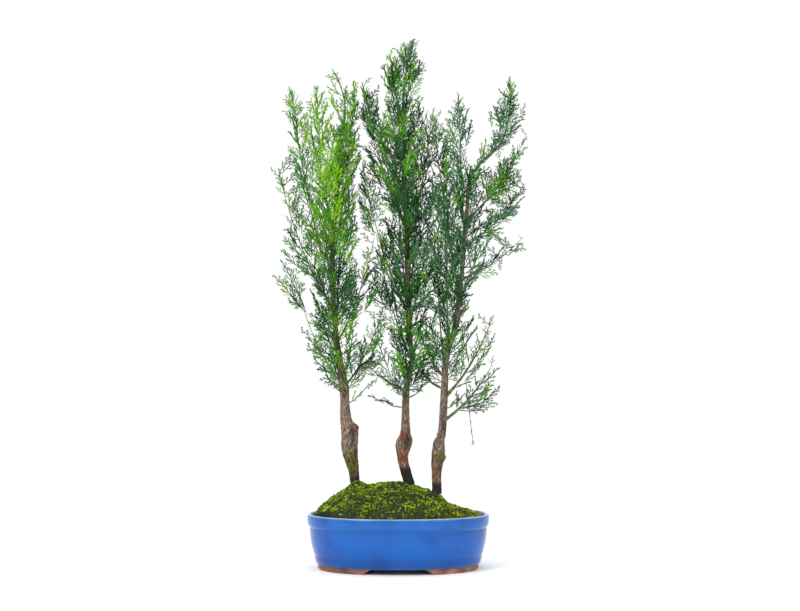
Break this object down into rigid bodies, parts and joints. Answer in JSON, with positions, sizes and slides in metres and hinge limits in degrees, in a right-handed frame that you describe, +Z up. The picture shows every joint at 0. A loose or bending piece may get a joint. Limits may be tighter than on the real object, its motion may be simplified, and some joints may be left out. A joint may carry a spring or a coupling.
{
  "type": "potted bonsai",
  "caption": "Cypress bonsai: a clump of slender conifers with upright feathery foliage, set in mounded moss in an oval blue-glazed pot on clay feet, with a blank card hung from a low bough",
  "frame": {"origin": "on the surface the pot's feet stand on, below the middle of the pot", "axes": "+Z up, the way the trees grow; +X to the right along the pot's length, seen from the front; +Y to the back, across the pot"},
  "size_m": [0.4301, 0.235, 0.8871],
  "materials": {
    "glaze": "glossy",
    "clay": "matte",
    "soil": "matte",
    "moss": "matte",
    "bark": "matte",
    "foliage": "matte",
    "card": "matte",
    "wire": "satin"
  },
  "bodies": {
    "root": {"trunk_left": "bark", "trunk_middle": "bark", "trunk_right": "bark", "bough_left_left_leader": "bark", "bough_left_left_middle": "bark", "bough_left_left_arm": "bark", "bough_left_left_skirt": "bark", "bough_left_right_leader": "bark", "bough_left_right_middle": "bark", "bough_left_right_skirt": "bark", "bough_middle_left_leader": "bark", "bough_middle_left_middle": "bark", "bough_middle_left_arm": "bark", "bough_middle_left_skirt": "bark", "bough_middle_right_leader": "bark", "bough_middle_right_middle": "bark", "bough_right_right_crest": "bark", "bough_right_right_upper": "bark", "bough_right_right_arm": "bark", "bough_right_right_low": "bark", "bough_right_right_foot": "bark", "bough_right_left_upper": "bark", "foliage_left_left_leader": "foliage", "foliage_left_left_middle": "foliage", "foliage_left_left_arm": "foliage", "foliage_left_left_skirt": "foliage", "foliage_left_right_leader": "foliage", "foliage_left_right_middle": "foliage", "foliage_left_right_skirt": "foliage", "foliage_left_front": "foliage", "foliage_left_back": "foliage", "foliage_left_leader": "foliage", "foliage_middle_left_leader": "foliage", "foliage_middle_left_middle": "foliage", "foliage_middle_left_arm": "foliage", "foliage_middle_left_skirt": "foliage", "foliage_middle_right_leader": "foliage", "foliage_middle_right_middle": "foliage", "foliage_middle_front": "foliage", "foliage_middle_back": "foliage", "foliage_middle_front_skirt": "foliage", "foliage_middle_leader": "foliage", "foliage_right_right_crest": "foliage", "foliage_right_right_upper": "foliage", "foliage_right_right_arm": "foliage", "foliage_right_right_low": "foliage", "foliage_right_right_foot": "foliage", "foliage_right_left_upper": "foliage", "foliage_right_left_leader": "foliage", "foliage_right_inner_leader": "foliage", "foliage_right_front": "foliage", "foliage_right_back": "foliage", "foliage_right_leader": "foliage", "pot": "glaze", "foot_left": "clay", "foot_right": "clay", "soil": "soil", "moss_mound": "moss", "hang_tag": "card", "tag_wire": "wire"}
  },
  "joints": []
}
